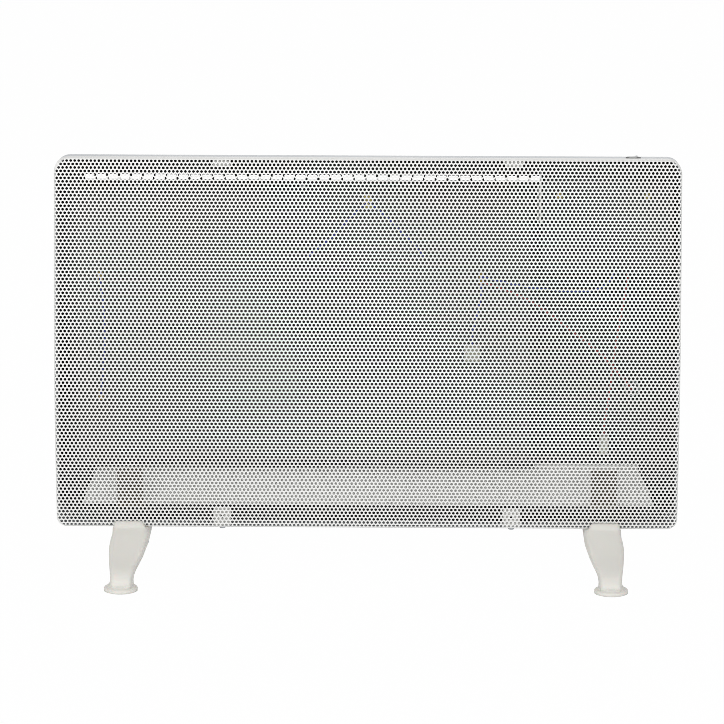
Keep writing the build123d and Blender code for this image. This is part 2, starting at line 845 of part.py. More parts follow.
terminals_at = [(tab_left_x, lower_tab_z), (tab_left_x, upper_tab_z), (tab_right_x, upper_tab_z)]
with BuildPart() as element_terminals:
    for tab_x_place, tab_z in terminals_at:
        with BuildSketch(Plane.XZ.offset(-element_y)):
            with Locations((tab_x_place, tab_z)):
                Rectangle(tab_width, tab_length)
        extrude(amount=tab_thick)
        with BuildSketch(Plane.XZ.offset(-element_y)):
            with Locations((tab_x_place, tab_z)):
                Rectangle(tab_width, tab_thick)
        extrude(amount=-wire_y - wire_radius)
write(element_terminals, "element_terminals")

with BuildPart() as wire_clip:
    with BuildSketch(Plane.XZ.offset(-frame_front_y)):
        with Locations((0, panel_bottom + clip_height)):
            RectangleRounded(clip_width, clip_length, 1.5)
    extrude(amount=clip_thick)
    with BuildSketch(Plane.XZ.offset(-element_y)):
        with Locations((0, panel_bottom + clip_height - 2)):
            Rectangle(clip_width - 1, clip_length - 6)
    extrude(amount=channel)
write(wire_clip, "wire_clip")

# Tilt switch in its sealed case, on a bracket off the heat shield
tilt_back_y = wire_y + tilt_depth
with BuildPart() as tilt_switch:
    with BuildSketch(Plane.XZ.offset(-tilt_back_y)):
        with Locations((tilt_x, tilt_z)):
            RectangleRounded(tilt_width, tilt_length, 1.5)
    extrude(amount=tilt_depth)
    fillet(tilt_switch.faces().sort_by(Axis.Y)[0].edges(), 1)
write(tilt_switch, "tilt_switch")

with BuildPart() as tilt_bracket:
    with BuildSketch(Plane.XY.offset(tilt_z - tilt_length / 4)):
        with BuildLine():
            Polyline(
                (tilt_x - tilt_width / 2, tilt_back_y),
                (tilt_x + tilt_width / 2 + bracket_sheet, tilt_back_y),
                (tilt_x + tilt_width / 2 + bracket_sheet, shield_front_y - bracket_sheet),
                (tilt_x + 2 * tilt_width, shield_front_y - bracket_sheet),
                (tilt_x + 2 * tilt_width, shield_front_y),
                (tilt_x + tilt_width / 2, shield_front_y),
                (tilt_x + tilt_width / 2, tilt_back_y + bracket_sheet),
                (tilt_x - tilt_width / 2, tilt_back_y + bracket_sheet),
                close=True,
            )
        make_face()
    extrude(amount=tilt_length / 2)
write(tilt_bracket, "tilt_bracket")

with BuildPart() as terminal_block:
    with BuildSketch(Plane.XZ.offset(-shield_front_y)):
        with Locations((block_x, box_bottom + block_rise)):
            RectangleRounded(block_length, block_width, 1.5)
    extrude(amount=block_depth)
    with BuildSketch(Plane.XZ.offset(-shield_front_y + block_depth)):
        with Locations((block_x, box_bottom + block_rise)):
            with GridLocations(block_length / 3, 1, 3, 1):
                Circle(block_screw_radius)
    extrude(amount=-block_depth / 2, mode=Mode.SUBTRACT)
write(terminal_block, "terminal_block")

# Bush for the supply cord, snapped through the back wall
with BuildPart() as cord_gland:
    with BuildSketch(Plane.XZ.offset(-back_y)):
        with Locations((gland_x, gland_z)):
            Circle(gland_radius + gland_flange)
    extrude(amount=-gland_flange)
    with BuildSketch(Plane.XZ.offset(-back_y - gland_flange)):
        with Locations((gland_x, gland_z)):
            Circle(gland_radius - 1)
    extrude(amount=-gland_out, taper=6)
    with BuildSketch(Plane.XZ.offset(-back_y)):
        with Locations((gland_x, gland_z)):
            Circle(gland_radius)
    extrude(amount=gland_in)
    with BuildSketch(Plane.XZ.offset(-back_y - far / 4)):
        with Locations((gland_x, gland_z)):
            Circle(gland_bore)
    extrude(amount=far / 2, mode=Mode.SUBTRACT)
write(cord_gland, "cord_gland")

# Internal wires, each a run of straight lengths joined by tangent arcs
wire_entry_y = wire_y + 2 * box_wall
tilt_y = wire_y + tilt_depth / 2
wire_routes = {
    "wire_supply": [
        (tab_right_x + wire_radius, wire_y, upper_tab_z - 3),
        (182, wire_y, 314),
        (262, wire_y - wire_over, 253),
        (290, wire_y - wire_over, 222),
        (gland_x - 1, 8, gland_z + 2),
        (gland_x, back_y - gland_in, gland_z),
    ],
    "wire_tilt": [
        (wire_entry_x + 8, wire_entry_y, box_bottom + wire_tail),
        (wire_entry_x + 8, wire_entry_y, box_bottom - wire_tail),
        (279, wire_y, 259),
        (273, wire_y, 200),
        (tilt_x, tilt_y, tilt_z + tilt_length / 2 + wire_tail),
        (tilt_x, tilt_y, tilt_z + tilt_length / 2),
    ],
    "wire_element": [
        (tab_right_x - wire_radius, wire_y, upper_tab_z + 3),
        (183, wire_y, 326),
        (234, wire_y, 322),
        (262, wire_y, 325),
        (wire_entry_x - 8, wire_entry_y, box_bottom - wire_tail / 2),
        (wire_entry_x - 8, wire_entry_y, box_bottom + wire_tail),
    ],
    "wire_jumper": [
        (tab_left_x, wire_y, lower_tab_z),
        (tab_left_x + 5, wire_y, lower_tab_z + 60),
        (tab_left_x + 4, wire_y, lower_tab_z + 105),
        (tab_left_x, wire_y, upper_tab_z),
    ],
    "wire_cutout": [
        (cutout_x, wire_y, cutout_z + cutout_size / 2),
        (cutout_x, wire_y, cutout_z + cutout_size / 2 + wire_tail),
        (tab_right_x, wire_y, upper_tab_z - tab_length / 2 - wire_tail),
        (tab_right_x, wire_y, upper_tab_z - tab_length / 2),
    ],
}
for name, points in wire_routes.items():
    corners = [Vector(*point) for point in points]
    runs = [b - a for a, b in zip(corners, corners[1:])]
    turns = [a.get_angle(b) for a, b in zip(runs, runs[1:])]
    radii = [
        0.45 * min(a.length, b.length) / tan(radians(turn / 2))
        for a, b, turn in zip(runs, runs[1:], turns)
    ]
    with BuildPart() as wire:
        with BuildLine() as route:
            FilletPolyline(*points, radius=radii)
        with BuildSketch(Plane(origin=route.wire() @ 0, z_dir=route.wire() % 0)):
            RegularPolygon(wire_radius, 8)
        sweep()
    write(wire, name)

# Feet: a saddle under the panel with a front and a rear leg, each ending in a round disc
saddle_step_y = front_bottom_y + flange_depth + 0.5
lip_front_y = front_bottom_y - lip_gap - (lip_front + 1) * tan(radians(lower_lean))
lip_rear_y = back_y + lip_gap
ankle_y = disc_y - ankle_radius
collar = ankle_radius + ankle_blend - 1


def rim_x(side, inward):
    return side * (foot_disc_x + disc_radius - inward)


for place, side in (("left", -1), ("right", 1)):
    lean = foot_disc_x - foot_top_x
    with BuildPart() as foot:
        with BuildSketch(Plane.YZ.offset(side * foot_top_x - foot_wide)):
            with BuildLine():
                front_lip = (lip_front_y - lip_thick, saddle_top + lip_front)
                rear_lip = (lip_rear_y + lip_thick, saddle_top + lip_back)
                toe = (-disc_y - ankle_radius, ankle_height)
                heel = (disc_y + ankle_radius, ankle_height)
                Spline(front_lip, (leg_knee_y, leg_knee_z), toe, tangents=((-0.25, -1), (-0.5, -1)))
                Line(toe, (toe[0], disc_thick))
                Line((toe[0], disc_thick), (-ankle_y, disc_thick))
                Spline(
                    (-ankle_y, disc_thick),
                    (0, saddle_top - saddle_thick),
                    (ankle_y, disc_thick),
                    tangents=((0.2, 1), (0.2, -1)),
                )
                Line((ankle_y, disc_thick), (heel[0], disc_thick))
                Line((heel[0], disc_thick), heel)
                Spline(heel, (-leg_knee_y, leg_knee_z), rear_lip, tangents=((-0.5, 1), (-0.25, 1)))
                Line(rear_lip, (lip_rear_y, saddle_top + lip_back))
                Line((lip_rear_y, saddle_top + lip_back), (lip_rear_y, shell_bottom))
                Line((lip_rear_y, shell_bottom), (saddle_step_y, shell_bottom))
                Line((saddle_step_y, shell_bottom), (saddle_step_y, saddle_top))
                Line((saddle_step_y, saddle_top), (lip_front_y, saddle_top))
                Line((lip_front_y, saddle_top), (lip_front_y, saddle_top + lip_front))
                Line((lip_front_y, saddle_top + lip_front), front_lip)
            make_face()
        extrude(amount=2 * foot_wide)
        top = saddle_top + lip_back
        with BuildSketch(Plane.XZ):
            with BuildLine():
                outer = Spline(
                    (side * (foot_top_x + foot_top_width / 2), top),
                    (side * (foot_top_x + foot_top_width / 2), saddle_top + lip_front),
                    (side * (foot_top_x + lean / 3 + foot_wide / 2), foot_wide_height),
                    (side * (foot_disc_x + ankle_radius), ankle_height),
                    (side * (foot_disc_x + ankle_radius), 0),
                )
                Line(outer @ 1, (side * (foot_disc_x - ankle_radius), 0))
                inner = Spline(
                    (side * (foot_disc_x - ankle_radius), 0),
                    (side * (foot_disc_x - ankle_radius), ankle_height),
                    (side * (foot_top_x + lean / 3 - foot_wide / 2), foot_wide_height),
                    (side * (foot_top_x - foot_top_width / 2), saddle_top + lip_front),
                    (side * (foot_top_x - foot_top_width / 2), top),
                )
                Line(inner @ 1, outer @ 0)
            make_face()
        extrude(amount=far, both=True, mode=Mode.INTERSECT)
        leg_edges = foot.edges().filter_by(GeomType.BSPLINE)
        leg_edges = leg_edges.filter_by(lambda edge: edge.bounding_box().size.Z > arch_rise)
        fillet(leg_edges.filter_by(lambda edge: abs(edge.center().Y - lip_rear_y) > 1), leg_edge)
        for end in (-1, 1):
            with BuildSketch(Plane.XZ.offset(-end * disc_y)):
                with BuildLine():
                    Polyline(
                        (side * foot_disc_x, 0),
                        (rim_x(side, 0), 0),
                        (rim_x(side, 0), disc_thick - disc_edge),
                        (rim_x(side, disc_edge), disc_thick),
                        (side * (foot_disc_x + collar), disc_thick),
                        (side * (foot_disc_x + collar - ankle_blend), disc_thick + ankle_blend),
                        (side * foot_disc_x, disc_thick + ankle_blend),
                        close=True,
                    )
                make_face()
            revolve(axis=Axis((side * foot_disc_x, end * disc_y, 0), (0, 0, 1)))
            with BuildSketch(Plane.XY):
                with Locations((side * foot_disc_x, end * disc_y)):
                    Circle(grip_radius + screw_clear)
            extrude(amount=grip_recess, mode=Mode.SUBTRACT)
        with Locations((side * foot_top_x, 0, shell_bottom)):
            Cylinder(foot_screw_radius + screw_clear, 2 * saddle_thick + 4, mode=Mode.SUBTRACT)
    write(foot, f"foot_{place}")

with BuildPart() as foot_grips:
    with BuildSketch(Plane.XY.offset(grip_recess)):
        with GridLocations(2 * foot_disc_x, 2 * disc_y, 2, 2):
            Circle(grip_radius)
    extrude(amount=-grip_thick)
write(foot_grips, "foot_grips")

foot_screw_seat = saddle_top - saddle_thick
with BuildPart() as foot_screws:
    for side in (-1, 1):
        with BuildSketch(Plane.XY.offset(foot_screw_seat)):
            with Locations((side * foot_top_x, 0)):
                Circle(foot_screw_head)
        extrude(amount=-foot_screw_head_thick)
        with BuildSketch(Plane.XY.offset(foot_screw_seat)):
            with Locations((side * foot_top_x, 0)):
                Circle(foot_screw_radius)
        extrude(amount=saddle_thick + foot_bracket_height)
write(foot_screws, "foot_screws")

# Steel brackets on the floor of the shell that take the foot screws
with BuildPart() as foot_brackets:
    for side in (-1, 1):
        with BuildSketch(Plane.XY.offset(shell_bottom + wall)):
            with Locations((side * foot_top_x, bracket_y)):
                Rectangle(foot_bracket_width, foot_bracket_depth)
        extrude(amount=bracket_plate)
        with BuildSketch(Plane.XY.offset(shell_bottom + wall + bracket_plate)):
            with Locations((side * foot_top_x, 0)):
                Circle(foot_boss_radius)
        extrude(amount=foot_bracket_height - bracket_plate)
        with BuildSketch(Plane.XY.offset(shell_bottom)):
            with Locations((side * foot_top_x, 0)):
                Circle(foot_screw_radius + thread_clear)
        extrude(amount=2 * foot_bracket_height, mode=Mode.SUBTRACT)
write(foot_brackets, "foot_brackets")
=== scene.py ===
import math

import bmesh
import bpy
import numpy as np
from mathutils import Matrix, Vector


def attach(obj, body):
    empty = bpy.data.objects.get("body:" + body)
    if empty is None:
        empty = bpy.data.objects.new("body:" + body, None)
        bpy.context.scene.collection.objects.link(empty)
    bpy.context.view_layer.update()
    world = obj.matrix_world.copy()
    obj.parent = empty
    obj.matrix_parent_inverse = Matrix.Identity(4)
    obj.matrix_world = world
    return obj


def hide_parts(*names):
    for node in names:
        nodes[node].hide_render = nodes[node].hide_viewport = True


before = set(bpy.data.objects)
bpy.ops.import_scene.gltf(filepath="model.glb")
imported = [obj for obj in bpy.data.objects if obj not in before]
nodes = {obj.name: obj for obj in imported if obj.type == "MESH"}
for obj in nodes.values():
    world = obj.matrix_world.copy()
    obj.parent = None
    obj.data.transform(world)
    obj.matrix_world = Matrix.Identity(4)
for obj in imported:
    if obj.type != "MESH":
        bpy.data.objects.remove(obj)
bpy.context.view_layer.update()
mm = 0.001
print("frame loaded:", len(nodes), "nodes")


def linear(hexCode):  # sRGB hex to the linear colour that a socket takes
    channels = [int(hexCode[i : i + 2], 16) / 255 for i in (0, 2, 4)]
    curve = [c / 12.92 if c <= 0.04045 else ((c + 0.055) / 1.055) ** 2.4 for c in channels]
    return (*curve, 1.0)


def addNode(tree, kind, settings=None, links=None, **properties):
    node = tree.nodes.new(kind)
    for key, value in properties.items():
        setattr(node, key, value)
    for socket, value in (settings or {}).items():
        node.inputs[socket].default_value = value
    for socket, source in (links or {}).items():
        tree.links.new(source, node.inputs[socket])
    return node


def makeFinish(name, look):
    material = bpy.data.materials.new(name)
    material.use_nodes = True
    tree = material.node_tree
    shader = tree.nodes["Principled BSDF"]
    place = addNode(tree, "ShaderNodeTexCoord").outputs["Object"]
    stretch = look.get("stretch", (1, 1, 1))
    stretched = addNode(tree, "ShaderNodeMapping", {"Scale": stretch}, {"Vector": place})
    grain = addNode(
        tree,
        "ShaderNodeTexNoise",
        {"Scale": 1 / (look["grain"] * mm), "Detail": look.get("detail", 3.0)},
        {"Vector": stretched.outputs["Vector"]},
    )
    patches = addNode(
        tree,
        "ShaderNodeTexNoise",
        {"Scale": 1 / (look["patch"] * mm), "Detail": 2.0},
        {"Vector": place},
    )
    colour = addNode(  # sockets 0, 6 and 7: share, first and second colour
        tree,
        "ShaderNodeMix",
        {6: linear(look["colour"]), 7: linear(look["shade"])},
        {0: patches.outputs["Fac"]},
        data_type="RGBA",
    )
    rough = addNode(
        tree,
        "ShaderNodeMapRange",
        {"To Min": look["rough"][0], "To Max": look["rough"][1]},
        {"Value": grain.outputs["Fac"]},
    )
    bump = addNode(
        tree,
        "ShaderNodeBump",
        {"Strength": 0.2, "Distance": look["depth"] * mm},
        {"Height": grain.outputs["Fac"]},
    )
    tree.links.new(colour.outputs[2], shader.inputs["Base Color"])
    tree.links.new(rough.outputs["Result"], shader.inputs["Roughness"])
    tree.links.new(bump.outputs["Normal"], shader.inputs["Normal"])
    shader.inputs["Metallic"].default_value = look.get("metal", 0.0)
    if "ior" in look:
        shader.inputs["IOR"].default_value = look["ior"]
    for socket, value in look.get("sockets", {}).items():
        shader.inputs[socket].default_value = value
    return material


def newPiece(name, points, faces, material, smooth=False):  # points in metres
    mesh = bpy.data.meshes.new(name)
    mesh.from_pydata([tuple(p) for p in points], [], faces)
    mesh.update()
    mesh.materials.append(material)
    mesh.polygons.foreach_set("use_smooth", [smooth] * len(mesh.polygons))
    piece = bpy.data.objects.new(name, mesh)
    bpy.context.scene.collection.objects.link(piece)
    return piece


def skinBetween(rings, count):
    return [
        (a + k, a + (k + 1) % count, a + count + (k + 1) % count, a + count + k)
        for a in range(0, (rings - 1) * count, count)
        for k in range(count)
    ]


def loftPiece(name, rings, material, smooth=True):
    # Skin over closed rings of the same count, in millimetres, with both ends closed
    count = len(rings[0])
    faces = skinBetween(len(rings), count)
    faces.append(tuple(reversed(range(count))))
    faces.append(tuple(range((len(rings) - 1) * count, len(rings) * count)))
    piece = newPiece(name, np.concatenate(rings) * mm, faces, material, smooth)
    shape = bmesh.new()
    shape.from_mesh(piece.data)
    bmesh.ops.recalc_face_normals(shape, faces=shape.faces)  # faces outwards on either side
    shape.to_mesh(piece.data)
    shape.free()
    return piece


# Grain and patch are wavelengths in millimetres, depth the height of the relief. A grain under
# 1.1 is finer than a pixel of the main view: there it only softens the gloss
looks = {
    # stoved enamel, white: satin, with a faint orange peel
    "frontEnamel": dict(
        colour="F3F3F1", shade="EEEEEC", grain=1.2, patch=90, depth=0.02, rough=(0.38, 0.46),
        ior=1.5,
    ),
    # stoved enamel, cool grey-white: the same satin on the rear shell; the grey is partly the paint
    # and partly painted shade for the less lit top
    "greyAndShadeEnamel": dict(
        colour="CDD0D4", shade="C7CBCF", grain=1.2, patch=90, depth=0.02, rough=(0.38, 0.46),
        ior=1.5,
    ),
    # heatproof enamel, black: flat and slightly gritty, so that the holes stay dark
    "blackEnamel": dict(
        colour="0C0C0C", shade="121212", grain=0.6, patch=40, depth=0.03, rough=(0.72, 0.85),
        ior=1.5,
    ),
    # stoved enamel, off-white: a flatter satin on the plates inside
    "whiteEnamel": dict(
        colour="EDEDEA", shade="E7E7E3", grain=1.2, patch=70, depth=0.02, rough=(0.45, 0.55),
        ior=1.5,
    ),
    # bright zinc plate: cool grey glint, faintly spangled
    "zincPlate": dict(
        colour="B9BDC1", shade="A7ABAF", grain=1.0, patch=6, depth=0.01, rough=(0.28, 0.42),
        metal=1.0,
    ),
    # zinc plate, yellow passivated: dull straw glint
    "yellowZinc": dict(
        colour="A3975F", shade="8E8350", grain=1.0, patch=4, depth=0.01, rough=(0.30, 0.42),
        metal=1.0,
    ),
    # rolled steel, brown-grey and dull: its dark tone is painted shade on the plate behind the front
    # over each foot
    "paintedShadeSteel": dict(
        colour="6E675D", shade="585249", grain=0.8, patch=7, depth=0.01, rough=(0.45, 0.60),
        metal=1.0,
    ),
    # rolled resistance strip: oxidised dark grey, drawn out along its run
    "resistanceStrip": dict(
        colour="44403D", shade="363330", grain=0.4, patch=12, depth=0.01, rough=(0.45, 0.60),
        metal=1.0, stretch=(0.1, 1, 1),
    ),
    # pressed mica board: dark and flaky, with duller and brighter plates
    "micaBoard": dict(
        colour="1A1816", shade="24201C", grain=1.6, patch=9, depth=0.05, rough=(0.50, 0.70),
        ior=1.56, detail=6.0,
    ),
    # glazed steatite: drab ceramic with a soft gloss
    "glazedSteatite": dict(
        colour="A5A297", shade="9A978B", grain=2.0, patch=8, depth=0.02, rough=(0.20, 0.32),
        ior=1.6,
    ),
    # stamped brass: aged gold-brown glint on the tabs
    "stampedBrass": dict(
        colour="8F7A4A", shade="7D693C", grain=0.5, patch=5, depth=0.01, rough=(0.30, 0.45),
        metal=1.0,
    ),
    # moulded polypropylene, warm white: waxy satin with a fine spark-eroded grain
    "mouldedPolypropylene": dict(
        colour="E6E4DE", shade="E1DFD8", grain=0.5, patch=35, depth=0.015, rough=(0.42, 0.52),
        ior=1.49, sockets={"Subsurface Weight": 0.08, "Subsurface Scale": 0.004},
    ),
    # moulded rubber: dead matt, nearly black
    "mouldedRubber": dict(
        colour="26262A", shade="1E1E20", grain=0.8, patch=12, depth=0.03, rough=(0.70, 0.85),
        ior=1.52,
    ),
    # moulded nylon with glass, black: fine and matt
    "mouldedNylonBlack": dict(
        colour="1C1C1D", shade="232323", grain=0.4, patch=20, depth=0.02, rough=(0.48, 0.60),
        ior=1.53,
    ),
    # moulded phenolic, black: dull
    "mouldedPhenolic": dict(
        colour="0F0F11", shade="151416", grain=0.5, patch=25, depth=0.02, rough=(0.60, 0.74),
        ior=1.6,
    ),
    # moulded ABS, black: smooth flanks with a soft gloss
    "mouldedAbs": dict(
        colour="202022", shade="262628", grain=0.6, patch=20, depth=0.01, rough=(0.30, 0.40),
        ior=1.53,
    ),
    # moulded ABS, pale grey: smooth with a soft gloss
    "mouldedAbsPale": dict(
        colour="D5D6D6", shade="CDCECE", grain=0.6, patch=20, depth=0.01, rough=(0.34, 0.44),
        ior=1.53,
    ),
    # moulded polycarbonate, amber: clear, with depth
    "amberPolycarbonate": dict(
        colour="D9691A", shade="C4560F", grain=3.0, patch=6, depth=0.005, rough=(0.05, 0.12),
        ior=1.58, sockets={"Transmission Weight": 0.35},
    ),
    # moulded nylon, natural: waxy, off-white going to grey
    "naturalNylon": dict(
        colour="B4B1A5", shade="A9A69A", grain=0.7, patch=9, depth=0.015, rough=(0.40, 0.52),
        ior=1.53,
    ),
    # extruded PVC sleeve, red-brown: smooth satin
    "brownPvc": dict(
        colour="8A1A20", shade="7A151A", grain=0.6, patch=15, depth=0.01, rough=(0.38, 0.48),
        ior=1.53,
    ),
    # extruded PVC sleeve, deep blue: smooth satin
    "bluePvc": dict(
        colour="1F2F86", shade="1A2876", grain=0.6, patch=15, depth=0.01, rough=(0.38, 0.48),
        ior=1.53,
    ),
}
finishes = {name: makeFinish(name, look) for name, look in looks.items()}

# What the pieces of the CAD model are made of; all others are zinc plated
nodeFinish = {
    "grille": "frontEnamel",
    "rear_shell": "greyAndShadeEnamel",
    "heat_shield": "blackEnamel",
    "element_frame": "blackEnamel",
    "bottom_rail": "blackEnamel",
    "tilt_bracket": "blackEnamel",
    "side_baffle": "whiteEnamel",
    "front_lugs": "whiteEnamel",
    "air_deflector": "whiteEnamel",
    "box_screws": "yellowZinc",
    "wire_clip": "yellowZinc",
    "element_terminals": "stampedBrass",
    "mica_front_lower": "micaBoard",
    "mica_front_upper": "micaBoard",
    "mica_back_lower": "micaBoard",
    "mica_back_upper": "micaBoard",
    "heating_ribbon_lower": "resistanceStrip",
    "heating_ribbon_upper": "resistanceStrip",
    "thermostat": "glazedSteatite",
    "thermal_cutout": "glazedSteatite",
    "foot_left": "mouldedPolypropylene",
    "foot_right": "mouldedPolypropylene",
    "foot_grips": "mouldedRubber",
    "control_box": "mouldedPhenolic",
    "thermostat_knob": "mouldedAbs",
    "dial_plate": "mouldedAbsPale",
    "pilot_lamp": "amberPolycarbonate",
    "power_switch": "mouldedNylonBlack",
    "power_rocker": "mouldedAbsPale",
    "cord_gland": "mouldedNylonBlack",
    "tilt_switch": "naturalNylon",
    "terminal_block": "naturalNylon",
    "wire_supply": "brownPvc",
    "wire_tilt": "brownPvc",
    "wire_element": "bluePvc",
    "wire_jumper": "bluePvc",
    "wire_cutout": "bluePvc",
}
for name, node in nodes.items():
    node.data.materials.clear()
    node.data.materials.append(finishes[nodeFinish.get(name, "zincPlate")])
print("finishes set:", len(finishes))

# The front sheet as it is punched and bent, in millimetres and degrees: stock 3 mm holes, drawn a
# touch larger so that the mesh comes as light as in the photograph
front = {
    "width": 702,
    "bottom": 53,
    "knee": 218,
    "top": 473,
    "topY": -9,
    "upperLean": 8.5,
    "lowerLean": 6.5,
    "kneeRadius": 650,
    "cornerTop": 16,
    "cornerBottom": 12,
    "bend": 3.0,
    "sheet": 0.8,
    "flange": 12,
    "pitch": 4.5,
    "hole": 3.15,
    "sides": 8,  # of the polygon that stands for a round hole
    "rowShift": 0.25,  # in pitches, to the left, so that both kinds of row end alike
    "edgeWeb": 0.6,  # holes end this far short of one bend radius past the flat area
    "cornerSteps": 8,
    "sideSteps": 40,
}

upperLean, lowerLean = math.radians(front["upperLean"]), math.radians(front["lowerLean"])
kneeY = front["topY"] - (front["top"] - front["knee"]) * math.tan(upperLean)
bottomY = kneeY + (front["knee"] - front["bottom"]) * math.tan(lowerLean)
arcLength = front["kneeRadius"] * (upperLean + lowerLean)
toArc = front["kneeRadius"] * math.tan((upperLean + lowerLean) / 2)
lowerFlat = (front["knee"] - front["bottom"]) / math.cos(lowerLean) - toArc
upperFlat = (front["top"] - front["knee"]) / math.cos(upperLean) - toArc
blankLength = lowerFlat + arcLength + upperFlat


def frontProfile(s):
    # Point y, z and upward tangent at the distance s up the bowed front, from its lower edge
    radius = front["kneeRadius"]
    angle = np.clip((s - lowerFlat) / radius, 0, upperLean + lowerLean) - lowerLean
    below, above = np.minimum(s, lowerFlat), np.maximum(s - lowerFlat - arcLength, 0)
    y = bottomY - below * math.sin(lowerLean) + above * math.sin(upperLean)
    z = front["bottom"] + below * math.cos(lowerLean) + above * math.cos(upperLean)
    y = y + radius * (math.cos(lowerLean) - np.cos(angle))
    z = z + radius * (np.sin(angle) + math.sin(lowerLean))
    return y, z, np.sin(angle), np.cos(angle)


def toFlatOutline(x, s):
    # Middle of the nearest corner or edge of the flat area, the corner's radius, the outward
    # direction, and the distance past the flat area's outline
    half, bend = front["width"] / 2, front["bend"]
    corner = np.where(s > blankLength / 2, front["cornerTop"], front["cornerBottom"]) - bend
    coreX = np.clip(x, -half + bend + corner, half - bend - corner)
    coreS = np.clip(s, bend + corner, blankLength - bend - corner)
    dx, ds = x - coreX, s - coreS
    reach = np.maximum(np.hypot(dx, ds), 1e-9)
    past = np.where((dx != 0) | (ds != 0), reach - corner, -1.0)
    return coreX, coreS, corner, dx / reach, ds / reach, past


def wrapSheet(x, s, depth):
    # A point of the flat blank laid on the bowed front and round its edge bends, in metres
    coreX, coreS, corner, outX, outS, past = toFlatOutline(x, s)
    bend = front["bend"]
    onBend = past > 0
    edgeX = np.where(onBend, coreX + outX * corner, x)
    edgeS = np.where(onBend, coreS + outS * corner, s)
    radius = bend - depth
    swing = np.clip(past, 0, bend * math.pi / 2) / bend
    aside, back = radius * np.sin(swing) * onBend, bend - radius * np.cos(swing)
    y, z, sinLean, cosLean = frontProfile(edgeS)
    points = [edgeX + outX * aside, y + outS * aside * sinLean + back, z + outS * aside * cosLean]
    return np.stack(points, axis=-1) * mm


def punchedCells():
    # Middles of the staggered pattern over the whole blank, and which of them are punched
    pitch = front["pitch"]
    rise = pitch * math.sqrt(3) / 2
    rows = int(blankLength / rise) + 2
    columns = int(front["width"] / pitch) + 2
    row, column = np.meshgrid(np.arange(rows), np.arange(columns), indexing="ij")
    x = (column - (columns - 1) / 2 + 0.5 * (row % 2) - front["rowShift"]) * pitch
    s = blankLength / 2 + (row - (rows - 1) / 2) * rise
    x, s = x.ravel(), s.ravel()
    past = toFlatOutline(x, s)[5]
    onBlank = past < front["bend"] * math.pi / 2 + pitch / 2
    punched = past < front["bend"] - front["edgeWeb"]
    return x[onBlank], s[onBlank], punched[onBlank]


def webTriangles(rimAngles, holeAngles):
    # One strip of triangles between a cell's six-sided rim and its hole
    rims, sides = len(rimAngles), len(holeAngles)
    strip, i, j = [], 0, 0
    while i < rims or j < sides:
        nextRim = rimAngles[0] + (i + 1) * 2 * math.pi / rims if i < rims else math.inf
        nextHole = holeAngles[0] + (j + 1) * 2 * math.pi / sides if j < sides else math.inf
        if nextRim <= nextHole:
            strip.append((i % rims, (i + 1) % rims, rims + j % sides))
            i += 1
        else:
            strip.append((i % rims, rims + (j + 1) % sides, rims + j % sides))
            j += 1
    return strip


def dressAsFront(piece):
    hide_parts("grille")
    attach(piece, "heater")


def punchedSheet(name, x, s, punched):
    sides, pitch = front["sides"], front["pitch"]
    rimAngles = math.pi / 6 + np.arange(6) * math.pi / 3
    holeAngles = math.pi / sides + np.arange(sides) * 2 * math.pi / sides
    rimX = x[:, None] + pitch / math.sqrt(3) * np.cos(rimAngles)
    rimS = s[:, None] + pitch / math.sqrt(3) * np.sin(rimAngles)
    sameArea = math.sqrt(2 * math.pi / sides / math.sin(2 * math.pi / sides))
    reach = front["hole"] / 2 * sameArea
    holeX = x[:, None] + reach * np.cos(holeAngles)
    holeS = s[:, None] + reach * np.sin(holeAngles)
    rim = wrapSheet(rimX, rimS, 0.0)
    mouth = wrapSheet(holeX, holeS, 0.0)
    floor = wrapSheet(holeX, holeS, front["sheet"])
    web = webTriangles(rimAngles, holeAngles)
    wall = [(6 + k, 6 + (k + 1) % sides) for k in range(sides)]
    web += [(a, b, b + sides, a + sides) for a, b in wall]
    points, faces = [], []
    for k in range(len(x)):
        first = len(points)
        points.extend(rim[k])
        if punched[k]:
            points.extend(mouth[k])
            points.extend(floor[k])
            faces.extend(tuple(first + v for v in face) for face in web)
        else:
            faces.append(tuple(first + v for v in range(6)))
    dressAsFront(newPiece(name, points, faces, finishes["frontEnamel"]))


cellX, cellS, punchedHere = punchedCells()
quarters = {
    "frontSheetLowerLeft": (cellX < 0) & (cellS < blankLength / 2),
    "frontSheetLowerRight": (cellX >= 0) & (cellS < blankLength / 2),
    "frontSheetUpperLeft": (cellX < 0) & (cellS >= blankLength / 2),
    "frontSheetUpperRight": (cellX >= 0) & (cellS >= blankLength / 2),
}
for name, inside in quarters.items():
    punchedSheet(name, cellX[inside], cellS[inside], punchedHere[inside])
print("front sheet:", int(punchedHere.sum()), "holes of", len(cellX), "cells")


def flangeLoop():
    # Points x, s round the outline, where the bend ends and the flange starts
    half, bend, steps = front["width"] / 2, front["bend"], front["sideSteps"]
    past = bend * math.pi / 2
    low, high = front["cornerBottom"], blankLength - front["cornerTop"]
    loop = []
    for sideX, sideS, start in ((1, -1, -90), (1, 1, 0), (-1, 1, 90), (-1, -1, 180)):
        corner = (front["cornerTop"] if sideS > 0 else front["cornerBottom"]) - bend
        middleX = sideX * (half - bend - corner)
        middleS = blankLength / 2 + sideS * (blankLength / 2 - bend - corner)
        for step in range(front["cornerSteps"] + 1):
            angle = math.radians(start + step * 90 / front["cornerSteps"])
            reach = corner + past
            loop.append((middleX + reach * math.cos(angle), middleS + reach * math.sin(angle)))
        if sideX != sideS:  # the upright sides follow the bow in short steps
            for step in range(1, steps):
                rise = (high - low) * step / steps
                loop.append((sideX * (half - bend + past), low + rise if sideX > 0 else high - rise))
    return np.array(loop)


def bentFlange():
    loop = flangeLoop()
    outer = wrapSheet(loop[:, 0], loop[:, 1], 0.0)
    inner = wrapSheet(loop[:, 0], loop[:, 1], front["sheet"])
    back = np.array([0, (front["flange"] - front["bend"]) * mm, 0])
    points = np.concatenate([outer, outer + back, inner + back, inner])
    faces = skinBetween(4, len(loop))
    dressAsFront(newPiece("frontFlange", points, faces, finishes["frontEnamel"]))


